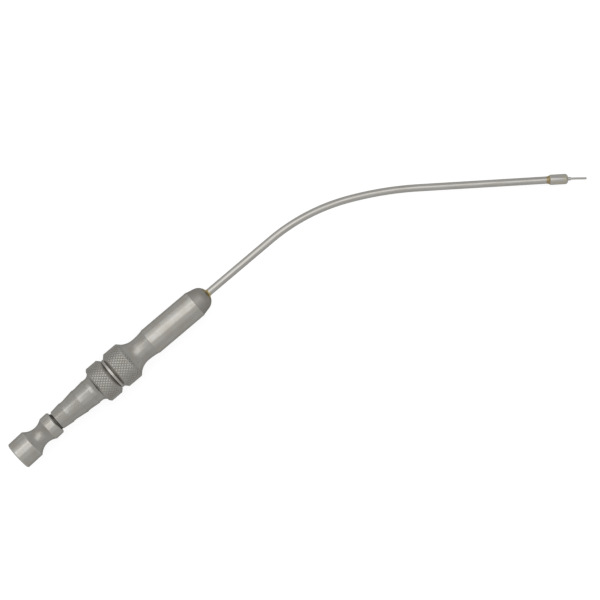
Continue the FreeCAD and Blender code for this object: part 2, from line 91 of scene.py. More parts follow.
def softened(corners, closed=True):
    """An outline of (along, out, edge) points with its arcs drawn and its sharp edges broken.

    A corner is (along, out, arc, edge): the radius of the arc that ends there, or 0 for a straight
    stretch, and how far back the corner is rounded, up to a share of the stretches beside it. A
    point held a little further back keeps the shading flat. The third value is 1 on an edge."""
    points = []
    for index, (along, out, arc, edge) in enumerate(corners):
        here = Vector((along, out))
        if arc:
            before = corners[index - 1]
            points += [(point, 0) for point in arc_between(Vector(before[:2]), here, arc)]
        points.append((here, edge))
    outline = []
    for index, (point, edge) in enumerate(points):
        at_end = not closed and index in (0, len(points) - 1)
        if not edge or at_end:
            outline.append((point.x, point.y, 0))
            continue
        to_before = points[index - 1][0] - point
        to_after = points[(index + 1) % len(points)][0] - point
        back = min(edge, EDGE_SHARE * to_before.length, EDGE_SHARE * to_after.length)
        start = point + to_before.normalized() * back
        end = point + to_after.normalized() * back
        held = point + to_before.normalized() * back * EDGE_HOLD
        outline.append((held.x, held.y, 0))
        for step in range(EDGE_STEPS + 1):
            t = step / EDGE_STEPS
            spot = start * (1 - t) ** 2 + point * 2 * t * (1 - t) + end * t ** 2
            outline.append((spot.x, spot.y, 1))
        held = point + to_after.normalized() * back * EDGE_HOLD
        outline.append((held.x, held.y, 0))
    return outline


def turned(name, outline, closed=True, sides=SIDES, route=None):
    """A mesh turned from an outline about the X axis, which a route may bend, in millimetres.

    It has a UV map of turns round the axis and millimetres along it, and an attribute that is 1 on
    the broken edges."""
    vertices = []
    rings = []
    edge_marks = []
    for along, out, edge in outline:
        bend = route(along) if route else Matrix.Translation((along, 0, 0))
        count = sides if out > POLE_OUT else 1
        rings.append([len(vertices) + step for step in range(count)])
        for step in range(count):
            angle = 2 * math.pi * step / sides
            vertices.append(bend @ Vector((0, out * math.cos(angle), out * math.sin(angle))))
            edge_marks.append(edge)
    faces = []
    wraps = []
    pairs = list(zip(range(len(rings)), range(1, len(rings))))
    if closed:
        pairs.append((len(rings) - 1, 0))
    for here, there in pairs:
        if len(rings[here]) == len(rings[there]) == 1:
            continue
        for step in range(sides):
            corners = []
            for ring, shift in ((here, 0), (here, 1), (there, 1), (there, 0)):
                turn = (step + shift) % sides if len(rings[ring]) > 1 else 0
                corner = (rings[ring][turn], ((step + shift) / sides, outline[ring][0]))
                if corner[0] not in [vertex for vertex, _ in corners]:
                    corners.append(corner)
            faces.append([vertex for vertex, _ in corners])
            wraps += [wrap for _, wrap in corners]
    mesh = bpy.data.meshes.new(name)
    mesh.from_pydata(vertices, [], faces)
    uv_map = mesh.uv_layers.new(name="Wrap")
    for loop, wrap in zip(uv_map.data, wraps):
        loop.uv = wrap
    marks = mesh.attributes.new("edge", "FLOAT", "POINT")
    marks.data.foreach_set("value", edge_marks)
    return mesh


WELD_REACH = 1e-4
SHARP_TURN = math.radians(28)


def finish_piece(name, meshes, materials, node, place=LYING):
    """Lay meshes in place and weld them into one piece, which stands for a node.

    Each mesh takes the material of the same number."""
    joined = bmesh.new()
    for index, mesh in enumerate(meshes):
        known = len(joined.faces)
        joined.from_mesh(mesh)
        joined.faces.ensure_lookup_table()
        for face in joined.faces[known:]:
            face.material_index = index
            face.smooth = True
    bmesh.ops.remove_doubles(joined, verts=joined.verts, dist=WELD_REACH)
    bmesh.ops.recalc_face_normals(joined, faces=joined.faces)
    bmesh.ops.transform(joined, matrix=place, verts=joined.verts)
    whole = bpy.data.meshes.new(name)
    for material in materials:
        whole.materials.append(material)
    joined.to_mesh(whole)
    joined.free()
    whole.set_sharp_from_angle(angle=SHARP_TURN)
    piece = bpy.data.objects.new(name, whole)
    bpy.context.collection.objects.link(piece)
    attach(piece, "root")
    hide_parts(node)


def socket_for(tree, direction, name, kind, value=None):
    """A named input or output of a node tree."""
    socket = tree.interface.new_socket(name=name, in_out=direction, socket_type="NodeSocket" + kind)
    if value is not None:
        socket.default_value = value
    return socket


def add_node(tree, kind, inputs=None, **settings):
    """A node with its settings made and its inputs set, or joined to other nodes' outputs."""
    node = tree.nodes.new(kind)
    for setting, value in settings.items():
        setattr(node, setting, value)
    for key, value in (inputs or {}).items():
        if isinstance(value, bpy.types.NodeSocket):
            tree.links.new(value, node.inputs[key])
        else:
            node.inputs[key].default_value = value
    return node


def maths(tree, operation, *values):
    """The result of a Math node."""
    return add_node(tree, "ShaderNodeMath", dict(enumerate(values)), operation=operation).outputs[0]


# The knurling tree: a flat sheet of cells is wrapped round the ring, with grooves cut into it that
# lean both ways, and held under the ring's chamfers. Its quads are split along the grooves.
FRONT_RUN_OUT = 0.5
knurling = bpy.data.node_groups.new("knurled_band", "GeometryNodeTree")
socket_for(knurling, "OUTPUT", "Band", "Geometry")
KNURL_INPUTS = {
    name: socket_for(knurling, "INPUT", name, kind).identifier
    for name, kind in (
        ("Width", "Float"),
        ("Peak Radius", "Float"),
        ("Rear Radius", "Float"),
        ("Front Radius", "Float"),
        ("Front Cut", "Float"),
        ("Depth", "Float"),
        ("Worn", "Float"),
        ("Row", "Float"),
        ("Starts", "Int"),
        ("Cuts", "Int"),
        ("Finish", "Material"),
    )
}
given = knurling.nodes.new("NodeGroupInput").outputs
cut_width = maths(knurling, "MULTIPLY", given["Width"], given["Cuts"])
fine_rows = maths(knurling, "ROUND", maths(knurling, "DIVIDE", cut_width, given["Row"]))
lattice_columns = maths(knurling, "MULTIPLY", given["Starts"], 2.0)
fine_columns = maths(knurling, "MULTIPLY", lattice_columns, given["Cuts"])
sheet = add_node(
    knurling,
    "GeometryNodeMeshGrid",
    {
        "Size X": 1.0,
        "Size Y": 1.0,
        "Vertices X": maths(knurling, "ADD", fine_columns, 1.0),
        "Vertices Y": maths(knurling, "ADD", fine_rows, 1.0),
    },
)
flat_place = add_node(
    knurling,
    "ShaderNodeSeparateXYZ",
    {0: knurling.nodes.new("GeometryNodeInputPosition").outputs[0]},
).outputs
round_share = maths(knurling, "ADD", flat_place[0], 0.5)
along_share = maths(knurling, "ADD", flat_place[1], 0.5)
column = maths(knurling, "MULTIPLY", round_share, lattice_columns)
row = maths(knurling, "DIVIDE", maths(knurling, "MULTIPLY", along_share, fine_rows), given["Cuts"])
grooves = [
    maths(
        knurling,
        "PINGPONG",
        maths(knurling, "MULTIPLY", maths(knurling, lean, column, row), 0.5),
        0.5,
    )
    for lean in ("ADD", "SUBTRACT")
]
groove = maths(knurling, "MULTIPLY", maths(knurling, "MAXIMUM", *grooves), 2.0)
past_worn = maths(knurling, "SUBTRACT", groove, given["Worn"])
groove = maths(
    knurling,
    "DIVIDE",
    maths(knurling, "MAXIMUM", past_worn, 0.0),
    maths(knurling, "SUBTRACT", 1.0, given["Worn"]),
)
cut = maths(knurling, "MULTIPLY", groove, given["Depth"])
cut_radius = maths(knurling, "SUBTRACT", given["Peak Radius"], cut)
along = maths(knurling, "MULTIPLY", along_share, given["Width"])
to_front = maths(knurling, "SUBTRACT", given["Width"], along)
rear_limit = maths(knurling, "ADD", given["Rear Radius"], along)
front_limit = maths(knurling, "ADD", given["Front Radius"], to_front)
under_chamfers = maths(knurling, "MINIMUM", rear_limit, front_limit)
blank_radius = maths(knurling, "MINIMUM", given["Peak Radius"], under_chamfers)
front_share = maths(knurling, "MINIMUM", maths(knurling, "DIVIDE", to_front, FRONT_RUN_OUT), 1.0)
front_share = maths(knurling, "MULTIPLY", given["Front Cut"], front_share)
front_cut = maths(knurling, "MULTIPLY", cut, front_share)
radius = maths(
    knurling,
    "MINIMUM",
    maths(knurling, "MINIMUM", cut_radius, rear_limit),
    maths(knurling, "SUBTRACT", front_limit, front_cut),
)
cut_here = maths(knurling, "SUBTRACT", blank_radius, radius)
angle = maths(knurling, "MULTIPLY", round_share, 2 * math.pi)
wrapped_place = add_node(
    knurling,
    "ShaderNodeCombineXYZ",
    {
        0: along,
        1: maths(knurling, "MULTIPLY", radius, maths(knurling, "COSINE", angle)),
        2: maths(knurling, "MULTIPLY", radius, maths(knurling, "SINE", angle)),
    },
).outputs[0]
marked = add_node(
    knurling,
    "GeometryNodeStoreNamedAttribute",
    {
        "Geometry": sheet.outputs["Mesh"],
        "Name": "groove",
        "Value": maths(knurling, "DIVIDE", cut_here, given["Depth"]),
    },
    data_type="FLOAT",
    domain="POINT",
)
fold = maths(
    knurling,
    "MODULO",
    maths(knurling, "ADD", maths(knurling, "FLOOR", column), maths(knurling, "FLOOR", row)),
    2.0,
)
folded_one_way = add_node(
    knurling,
    "GeometryNodeTriangulate",
    {"Mesh": marked.outputs["Geometry"], "Selection": fold},
    quad_method="FIXED",
)
folded = add_node(
    knurling,
    "GeometryNodeTriangulate",
    {"Mesh": folded_one_way.outputs["Mesh"]},
    quad_method="FIXED_ALTERNATE",
)
wrapped = add_node(
    knurling,
    "GeometryNodeSetPosition",
    {"Geometry": folded.outputs["Mesh"], "Position": wrapped_place},
)
real = add_node(
    knurling,
    "GeometryNodeRealizeInstances",
    {"Geometry": wrapped.outputs["Geometry"]},
)
coated = add_node(
    knurling,
    "GeometryNodeSetMaterial",
    {"Geometry": real.outputs["Geometry"], "Material": given["Finish"]},
)
knurling.links.new(coated.outputs["Geometry"], knurling.nodes.new("NodeGroupOutput").inputs["Band"])

RING_OUT = 7.0
KNURL_STARTS = 36
KNURL_DEPTH = 0.12
KNURL_WORN = 0.4
KNURL_ROW = 0.68
KNURL_CUTS = SIDES // (2 * KNURL_STARTS)

# How far back the edges are broken, from the outer ones to those of the thin walls.
EDGE_BREAK = 0.06
SOFT_BREAK = 0.08
FINE_BREAK = 0.05
BORE_BREAK = 0.04
THIN_BREAK = 0.03


def knurled_band(name, start, width, rear_out, front_out, front_cut, finish):
    """The knurled stretch of a ring, whose grooves run out at its chamfers.

    Where the front cut is 1 instead of 0, they run down that chamfer too."""
    blank = bpy.data.objects.new(name, bpy.data.meshes.new(name))
    bpy.context.collection.objects.link(blank)
    modifier = blank.modifiers.new("knurling", "NODES")
    modifier.node_group = knurling
    sizes = {
        "Width": width,
        "Peak Radius": RING_OUT,
        "Rear Radius": rear_out,
        "Front Radius": front_out,
        "Front Cut": front_cut,
        "Depth": KNURL_DEPTH,
        "Worn": KNURL_WORN,
        "Row": KNURL_ROW,
        "Starts": KNURL_STARTS,
        "Cuts": KNURL_CUTS,
        "Finish": finish,
    }
    for size, value in sizes.items():
        modifier[KNURL_INPUTS[size]] = value
    bpy.context.view_layer.update()
    shown = blank.evaluated_get(bpy.context.evaluated_depsgraph_get())
    band = bpy.data.meshes.new_from_object(shown)
    bpy.data.objects.remove(blank)
    band.transform(Matrix.Translation((start, 0, 0)))
    return band


def noise_of(tree, place, scale, detail=2.0, roughness=0.5):
    """Soft noise over a place."""
    inputs = {"Vector": place, "Scale": scale, "Detail": detail, "Roughness": roughness}
    return add_node(tree, "ShaderNodeTexNoise", inputs).outputs["Fac"]


def share_between(tree, value, low, high):
    """How far a value has come from low to high, from 0 to 1."""
    inputs = {"Value": value, "From Min": low, "From Max": high}
    return add_node(tree, "ShaderNodeMapRange", inputs).outputs[0]


def blended(tree, factor, first, second, **settings):
    """A colour mixed of two."""
    inputs = {"Factor": factor, "A": first, "B": second}
    return add_node(tree, "ShaderNodeMix", inputs, data_type="RGBA", **settings).outputs["Result"]


def centred(tree, value, reach):
    """Noise moved to lie about 0, and scaled."""
    return maths(tree, "MULTIPLY", maths(tree, "SUBTRACT", value, 0.5), reach)


# The finish that every turned face shares: fine rings left by the tool, a satin grain, slow changes
# of tone, and edges rubbed a little brighter.
LINES_PER_MM = 9.0
RUBBED_EDGE = (0.46, 0.45, 0.43, 1)
turned_finish = bpy.data.node_groups.new("turned_finish", "ShaderNodeTree")
for name, kind, value in (
    ("Place", "Vector", None),
    ("Colour", "Color", None),
    ("Warm Colour", "Color", None),
    ("Roughness", "Float", 0.3),
    ("Line Depth", "Float", 0.3),
    ("Grain Depth", "Float", 0.3),
    ("Edge", "Float", 0.0),
):
    socket_for(turned_finish, "INPUT", name, kind, value)
for name, kind in (("Colour", "Color"), ("Roughness", "Float"), ("Height", "Float")):
    socket_for(turned_finish, "OUTPUT", name, kind)
given = turned_finish.nodes.new("NodeGroupInput").outputs
along = add_node(turned_finish, "ShaderNodeSeparateXYZ", {0: given["Place"]}).outputs[0]
tool_lines = add_node(
    turned_finish,
    "ShaderNodeTexNoise",
    {"W": maths(turned_finish, "MULTIPLY", along, LINES_PER_MM), "Scale": 1.0, "Detail": 3.0},
    noise_dimensions="1D",
).outputs["Fac"]
grain = noise_of(turned_finish, given["Place"], scale=11.0, detail=4.0, roughness=0.65)
cloud = noise_of(turned_finish, given["Place"], scale=0.34, detail=3.0)
patchy = share_between(turned_finish, cloud, 0.36, 0.66)
tone = blended(turned_finish, patchy, given["Colour"], given["Warm Colour"])
marks = maths(
    turned_finish,
    "ADD",
    maths(turned_finish, "MULTIPLY", tool_lines, 0.1),
    maths(turned_finish, "MULTIPLY", grain, 0.1),
)
shade = maths(turned_finish, "ADD", 0.9, marks)
shaded = blended(turned_finish, 1.0, tone, shade, blend_type="MULTIPLY")
rubbed = maths(turned_finish, "MULTIPLY", grain, 0.5)
rubbed = maths(turned_finish, "MULTIPLY", given["Edge"], rubbed)
edged = blended(turned_finish, rubbed, shaded, RUBBED_EDGE)
spread = centred(turned_finish, cloud, 0.16)
speckle = centred(turned_finish, grain, 0.1)
unevenness = maths(turned_finish, "ADD", spread, speckle)
roughness = maths(turned_finish, "ADD", given["Roughness"], unevenness)
height = maths(
    turned_finish,
    "ADD",
    maths(turned_finish, "MULTIPLY", tool_lines, given["Line Depth"]),
    maths(turned_finish, "MULTIPLY", grain, given["Grain Depth"]),
)
finish_out = turned_finish.nodes.new("NodeGroupOutput")
turned_finish.links.new(edged, finish_out.inputs["Colour"])
turned_finish.links.new(roughness, finish_out.inputs["Roughness"])
turned_finish.links.new(height, finish_out.inputs["Height"])


def local_place(tree, location, turn=(0, 0, 0)):
    """Object coordinates in millimetres about a point, with X along a piece's own axis."""
    coordinates = add_node(tree, "ShaderNodeTexCoord").outputs["Object"]
    return add_node(
        tree,
        "ShaderNodeMapping",
        {"Vector": coordinates, "Location": location, "Rotation": turn, "Scale": (MM, MM, MM)},
        vector_type="TEXTURE",
    ).outputs[0]


def new_material(name):
    """A material with its node tree and its shader."""
    material = bpy.data.materials.new(name)
    material.use_nodes = True
    return material, material.node_tree, material.node_tree.nodes["Principled BSDF"]


def join_finish(tree, shader, finish, strength, distance):
    """Lead a finish group's colour, roughness and height to the shader."""
    bump = add_node(
        tree,
        "ShaderNodeBump",
        {"Height": finish.outputs["Height"], "Strength": strength, "Distance": distance},
    )
    tree.links.new(finish.outputs["Colour"], shader.inputs["Base Color"])
    tree.links.new(finish.outputs["Roughness"], shader.inputs["Roughness"])
    tree.links.new(bump.outputs[0], shader.inputs["Normal"])


# How much of the whitening at a grazing angle satin steel keeps.
GRAZING = (0.5, 0.5, 0.5, 1)


def steel(name, colour, warm, roughness, lines, grain, location=seam, turn=(0, 0, 0)):
    """A satin steel with the shared turned finish; gives its material, finish and shader."""
    material, tree, shader = new_material(name)
    shader.inputs["Metallic"].default_value = 1.0
    shader.inputs["Specular Tint"].default_value = GRAZING
    edge = add_node(tree, "ShaderNodeAttribute", attribute_name="edge").outputs["Fac"]
    finish = add_node(
        tree,
        "ShaderNodeGroup",
        {
            "Place": local_place(tree, location, turn),
            "Colour": (*colour, 1),
            "Warm Colour": (*warm, 1),
            "Roughness": roughness,
            "Line Depth": lines,
            "Grain Depth": grain,
            "Edge": edge,
        },
        node_tree=turned_finish,
    )
    join_finish(tree, shader, finish, strength=0.5, distance=2e-5)
    return material, finish, shader


SATIN = (0.285, 0.277, 0.258)
SATIN_WARM = (0.27, 0.255, 0.228)
barrel_satin = steel("barrel_satin", SATIN, SATIN_WARM, roughness=0.26, lines=0.5, grain=0.4)[0]
waist_satin = steel(
    "waist_satin",
    colour=(0.262, 0.255, 0.238),
    warm=(0.247, 0.235, 0.212),
    roughness=0.29,
    lines=0.5,
    grain=0.5,
)[0]
nose_satin, nose_finish, nose_shader = steel(
    "nose_satin",
    colour=(0.225, 0.216, 0.2),
    warm=(0.213, 0.2, 0.18),
    roughness=0.48,
    lines=0.3,
    grain=0.6,
)
knurled_satin, knurled_finish, knurled_shader = steel(
    "knurled_satin",
    colour=(0.252, 0.245, 0.228),
    warm=(0.238, 0.226, 0.205),
    roughness=0.24,
    lines=0.2,
    grain=0.5,
)

# The bottoms of the knurl's grooves are painted darker: painted shade in the grooves.
GROOVE_SHADE = (0.15, 0.14, 0.12, 1)
GROOVE_SHADE_SHARE = 0.4
tree = knurled_satin.node_tree
groove = add_node(tree, "ShaderNodeAttribute", attribute_name="groove").outputs["Fac"]
# Painted shade: the deeper the groove, the darker the colour.
groove_shading = maths(tree, "MULTIPLY", share_between(tree, groove, 0.55, 1.0), GROOVE_SHADE_SHARE)
groove_shaded = blended(tree, groove_shading, knurled_finish.outputs["Colour"], GROOVE_SHADE)
tree.links.new(groove_shaded, knurled_shader.inputs["Base Color"])

NECK_OUT = 5.8
NECK_END = 0.85
BEVEL_END = NECK_END + RING_OUT - NECK_OUT
HANDLE_RING_WIDTH = 5.35
HANDLE_RING_EDGE = 0.35
RING_EDGE_OUT = RING_OUT - HANDLE_RING_EDGE
HANDLE_BAND_START = BEVEL_END - HANDLE_RING_EDGE
WAIST_START = BEVEL_END + HANDLE_RING_WIDTH + HANDLE_RING_EDGE
WAIST = WAIST_START + 5.0
WAIST_OUT = 4.4
SHOULDER_KNURL = 1.0
BARREL_START = WAIST + 4.3
WAIST_FRONT_OUT = 4.82
BARREL_OUT = 4.95
BARREL_END = BARREL_START + 20.1
NOSE_ROOT_OUT = 4.81
NOSE_CONE = 2.6
NOSE_CONE_TURN = math.radians(13)
NOSE_FRONT = BARREL_END + 5.4
NOSE_FACE_OUT = 1.8
SOCKET_OUT = 4.0
SOCKET_END = 7.9
SOCKET_CHAMFER = 0.4
HANDLE_BORE_OUT = 1.1
TUBE_OUT = 1.25
TUBE_SOCKET_OUT = TUBE_OUT + 0.03
TUBE_SEAT = 11.9
TUBE_START = NOSE_FRONT - TUBE_SEAT


def hollow_radius(reach, drop):
    """Radius of the arc that runs level at one end and has dropped so far over its reach."""
    return -(reach ** 2 + drop ** 2) / (2 * drop)


waist_radius = hollow_radius(WAIST - WAIST_START, RING_EDGE_OUT - WAIST_OUT)
waist_front_radius = hollow_radius(BARREL_START - WAIST, WAIST_FRONT_OUT - WAIST_OUT)
knurl_end = WAIST_START + SHOULDER_KNURL
knurl_end_out = WAIST_OUT - waist_radius - math.sqrt(waist_radius ** 2 - (WAIST - knurl_end) ** 2)
nose_cone_out = NOSE_ROOT_OUT - NOSE_CONE * math.tan(NOSE_CONE_TURN)
nose_chord = Vector((NOSE_FRONT - BARREL_END - NOSE_CONE, NOSE_FACE_OUT - nose_cone_out))
nose_turn = math.atan2(-nose_chord.y, nose_chord.x) - NOSE_CONE_TURN
nose_radius = nose_chord.length / (2 * math.sin(nose_turn))

# The braze has stained the rim of the nose unevenly.
RIM_STAIN = (0.2, 0.165, 0.08, 1)
tree = nose_satin.node_tree
rim_place = local_place(tree, seam)
rim_along = add_node(tree, "ShaderNodeSeparateXYZ", {0: rim_place}).outputs[0]
uneven_along = maths(tree, "ADD", rim_along, noise_of(tree, rim_place, scale=1.4))
rim = share_between(tree, uneven_along, NOSE_FRONT - 0.2, NOSE_FRONT + 0.3)
stained = blended(tree, rim, nose_finish.outputs["Colour"], RIM_STAIN)
tree.links.new(stained, nose_shader.inputs["Base Color"])

waist_outline = softened(
    [
        (knurl_end, knurl_end_out, 0, 0),
        (WAIST, WAIST_OUT, waist_radius, 0),
        (BARREL_START, WAIST_FRONT_OUT, waist_front_radius, 0),
    ],
    closed=False,
)
barrel_outline = softened(
    [
        (BARREL_START, WAIST_FRONT_OUT, 0, 0),
        (BARREL_START, BARREL_OUT, 0, EDGE_BREAK),
        (BARREL_END, BARREL_OUT, 0, EDGE_BREAK),
        (BARREL_END, NOSE_ROOT_OUT, 0, 0),
    ],
    closed=False,
)
nose_outline = softened(
    [
        (BARREL_END, NOSE_ROOT_OUT, 0, 0),
        (BARREL_END + NOSE_CONE, nose_cone_out, 0, 0),
        (NOSE_FRONT, NOSE_FACE_OUT, nose_radius, SOFT_BREAK),
        (NOSE_FRONT, TUBE_SOCKET_OUT, 0, BORE_BREAK),
        (TUBE_START, TUBE_SOCKET_OUT, 0, 0),
        (TUBE_START, HANDLE_BORE_OUT, 0, BORE_BREAK),
        (SOCKET_END, HANDLE_BORE_OUT, 0, BORE_BREAK),
        (SOCKET_END, SOCKET_OUT, 0, 0),
        (SOCKET_CHAMFER, SOCKET_OUT, 0, BORE_BREAK),
        (0, SOCKET_OUT + SOCKET_CHAMFER, 0, 0),
    ],
    closed=False,
)
neck_outline = softened(
    [
        (0, SOCKET_OUT + SOCKET_CHAMFER, 0, 0),
        (0, NECK_OUT, 0, EDGE_BREAK),
        (NECK_END, NECK_OUT, 0, 0),
        (HANDLE_BAND_START, RING_EDGE_OUT, 0, 0),
    ],
    closed=False,
)
finish_piece(
    "handle",
    [
        turned("waist_turning", waist_outline, closed=False),
        turned("barrel_turning", barrel_outline, closed=False),
        turned("nose_turning", nose_outline, closed=False),
        turned("neck_turning", neck_outline, closed=False),
        knurled_band(
            "handle_band",
            start=HANDLE_BAND_START,
            width=knurl_end - HANDLE_BAND_START,
            rear_out=RING_EDGE_OUT,
            front_out=knurl_end_out,
            front_cut=1.0,
            finish=knurled_satin,
        ),
    ],
    [waist_satin, barrel_satin, nose_satin, barrel_satin, knurled_satin],
    "handle_body",
)

# Suction tube: a length of drawn steel tube, brazed into the nose, straight at first and then bent
# to the right in two sweeps. Drawing leaves faint streaks along it.
TUBE_BORE_OUT = 0.95
TUBE_STRAIGHT = 28.3
BENDS = [(67.8, math.radians(25.0)), (119.6, math.radians(11.8))]
TUBE_END_RUN = 48.6


def route_through(moves):
    """A function from millimetres along a route to the place and heading there.

    A move is (length, 0) for a straight run or (radius, angle) for a bend to the right."""

    def place_at(along):
        place = Matrix.Identity(4)
        left_over = along
        for index, (size, angle) in enumerate(moves):
            length = size * abs(angle) if angle else size
            step = left_over if index == len(moves) - 1 else min(left_over, length)
            if angle:
                turn = math.copysign(step / size, -angle)
                centre = Matrix.Translation((0, -math.copysign(size, angle), 0))
                place = place @ centre @ Matrix.Rotation(turn, 4, "Z") @ centre.inverted()
            else:
                place = place @ Matrix.Translation((step, 0, 0))
            left_over -= step
            if left_over <= 0:
                break
        return place

    return place_at


def route_length(moves):
    """Millimetres of metal along a route."""
    return sum(size * abs(angle) if angle else size for size, angle in moves)


def steps_between(start, end, step=1.0):
    """Evenly spaced places between two places, both left out."""
    count = max(1, round(abs(end - start) / step))
    return [start + (end - start) * index / count for index in range(1, count)]


TUBE_SIDES = 64
tube_moves = [(TUBE_SEAT + TUBE_STRAIGHT, 0), *BENDS, (TUBE_END_RUN, 0)]
tube_length = route_length(tube_moves)
tube_outline = [(0, TUBE_BORE_OUT, 0), (0, TUBE_OUT, 0)]
tube_outline += [(along, TUBE_OUT, 0) for along in steps_between(0, tube_length)]
tube_outline += [(tube_length, TUBE_OUT, 0), (tube_length, TUBE_BORE_OUT, 0)]
tube_outline += [(along, TUBE_BORE_OUT, 0) for along in steps_between(tube_length, 0)]

# The finish of drawn metal, for the tube and the wire: streaks that run the length of the piece,
# read from its own UV map.
drawn_finish = bpy.data.node_groups.new("drawn_finish", "ShaderNodeTree")
for name, kind, value in (
    ("Wrap", "Vector", None),
    ("Colour", "Color", None),
    ("Streak Colour", "Color", None),
    ("Roughness", "Float", 0.3),
    ("Streaks", "Float", 3.0),
):
    socket_for(drawn_finish, "INPUT", name, kind, value)
for name, kind in (("Colour", "Color"), ("Roughness", "Float"), ("Height", "Float")):
    socket_for(drawn_finish, "OUTPUT", name, kind)
given = drawn_finish.nodes.new("NodeGroupInput").outputs
wrap = add_node(drawn_finish, "ShaderNodeSeparateXYZ", {0: given["Wrap"]}).outputs
round_angle = maths(drawn_finish, "MULTIPLY", wrap[0], 2 * math.pi)
round_cosine = maths(drawn_finish, "COSINE", round_angle)
round_sine = maths(drawn_finish, "SINE", round_angle)


def drawn_noise(streaks, stretch, detail):
    """Noise that closes round the piece, with so many streaks and so much stretch along it."""
    place = add_node(
        drawn_finish,
        "ShaderNodeCombineXYZ",
        {
            0: maths(drawn_finish, "MULTIPLY", round_cosine, streaks),
            1: maths(drawn_finish, "MULTIPLY", round_sine, streaks),
            2: maths(drawn_finish, "MULTIPLY", wrap[1], stretch),
        },
    ).outputs[0]
    return noise_of(drawn_finish, place, scale=1.0, detail=detail)


streaks = drawn_noise(given["Streaks"], stretch=0.12, detail=3.0)
patches = drawn_noise(streaks=0.6, stretch=0.09, detail=2.0)
fine_grain = drawn_noise(streaks=14.0, stretch=5.0, detail=3.0)
streaky = share_between(drawn_finish, streaks, 0.4, 0.68)
streaked = blended(drawn_finish, streaky, given["Colour"], given["Streak Colour"])
drawn_shade = maths(drawn_finish, "ADD", 0.92, maths(drawn_finish, "MULTIPLY", fine_grain, 0.16))
drawn_colour = blended(drawn_finish, 1.0, streaked, drawn_shade, blend_type="MULTIPLY")
drawn_spread = centred(drawn_finish, patches, 0.2)
drawn_roughness = maths(drawn_finish, "ADD", given["Roughness"], drawn_spread)
drawn_height = maths(drawn_finish, "ADD", streaks, maths(drawn_finish, "MULTIPLY", fine_grain, 0.4))
drawn_out = drawn_finish.nodes.new("NodeGroupOutput")
drawn_finish.links.new(drawn_colour, drawn_out.inputs["Colour"])
drawn_finish.links.new(drawn_roughness, drawn_out.inputs["Roughness"])
drawn_finish.links.new(drawn_height, drawn_out.inputs["Height"])


def drawn_steel(name, colour, streak_colour, roughness, streaks):
    """A steel drawn through a die."""
    material, tree, shader = new_material(name)
    shader.inputs["Metallic"].default_value = 1.0
    shader.inputs["Specular Tint"].default_value = GRAZING
    finish = add_node(
        tree,
        "ShaderNodeGroup",
        {
            "Wrap": add_node(tree, "ShaderNodeUVMap", uv_map="Wrap").outputs[0],
            "Colour": (*colour, 1),
            "Streak Colour": (*streak_colour, 1),
            "Roughness": roughness,
            "Streaks": streaks,
        },
        node_tree=drawn_finish,
    )
    join_finish(tree, shader, finish, strength=0.3, distance=1e-5)
    return material


tube_drawn = drawn_steel(
    "tube_drawn",
    colour=(0.315, 0.305, 0.287),
    streak_colour=(0.268, 0.256, 0.233),
    roughness=0.22,
    streaks=3.2,
)
tube_place = LYING @ Matrix.Translation((TUBE_START, 0, 0))
tube_route = route_through(tube_moves)
finish_piece(
    "bent_tube",
    [turned("tube_drawing", tube_outline, sides=TUBE_SIDES, route=tube_route)],
    [tube_drawn],
    "suction_tube",
    tube_place,
)

# Nose braze: the ring of gold-coloured braze metal that ran into the corner between the nose and the
# tube, uneven where it was fed in.
FILLET_HEIGHT = 0.5
FILLET_LENGTH = 0.7
FILLET_REAR = -0.05
FILLET_FLAT = 0.02
BRAZE_LAP = 0.01


def braze(name, colour, dark, roughness):
    """A braze metal, mottled as it froze and browned by the flux."""
    material, tree, shader = new_material(name)
    shader.inputs["Metallic"].default_value = 1.0
    place = local_place(tree, seam)
    mottle = noise_of(tree, place, scale=1.7, detail=4.0)
    grit = noise_of(tree, place, scale=8.0, detail=3.0)
    tone = blended(tree, share_between(tree, mottle, 0.38, 0.64), (*colour, 1), (*dark, 1))
    uneven = maths(tree, "ADD", roughness, centred(tree, grit, 0.3))
    bump = add_node(tree, "ShaderNodeBump", {"Height": grit, "Strength": 0.6, "Distance": 4e-5})
    tree.links.new(tone, shader.inputs["Base Color"])
    tree.links.new(uneven, shader.inputs["Roughness"])
    tree.links.new(bump.outputs[0], shader.inputs["Normal"])
    return material


def run_unevenly(mesh, reach, seed):
    """Pull a braze ring's thin edge along the metal by uneven amounts."""
    far = max(abs(vertex.co.x) for vertex in mesh.vertices)
    for vertex in mesh.vertices:
        drift = noise.noise(Vector((vertex.co.y * RUN_SCALE + seed, vertex.co.z * RUN_SCALE, seed)))
        vertex.co.x += reach * drift * abs(vertex.co.x) / far
    return mesh


RUN_REACH = 0.16
RUN_SCALE = 1.3
RUN_SEED = 3.1
nose_gold = braze("nose_gold", colour=(0.36, 0.29, 0.13), dark=(0.24, 0.19, 0.085), roughness=0.36)
nose_fillet_outline = softened(
    [
        (FILLET_REAR, TUBE_OUT - BRAZE_LAP, 0, 0),
        (FILLET_REAR, TUBE_OUT + FILLET_HEIGHT, 0, 0),
        (FILLET_FLAT, TUBE_OUT + FILLET_HEIGHT, 0, 0),
        (FILLET_LENGTH, TUBE_OUT + BRAZE_LAP, -FILLET_LENGTH, 0),
        (FILLET_LENGTH, TUBE_OUT - BRAZE_LAP, 0, 0),
    ]
)
nose_fillet_turning = turned("nose_fillet_turning", nose_fillet_outline, sides=TUBE_SIDES)
finish_piece(
    "nose_fillet",
    [run_unevenly(nose_fillet_turning, RUN_REACH, RUN_SEED)],
    [nose_gold],
    "nose_braze",
    LYING @ Matrix.Translation((NOSE_FRONT, 0, 0)),
)

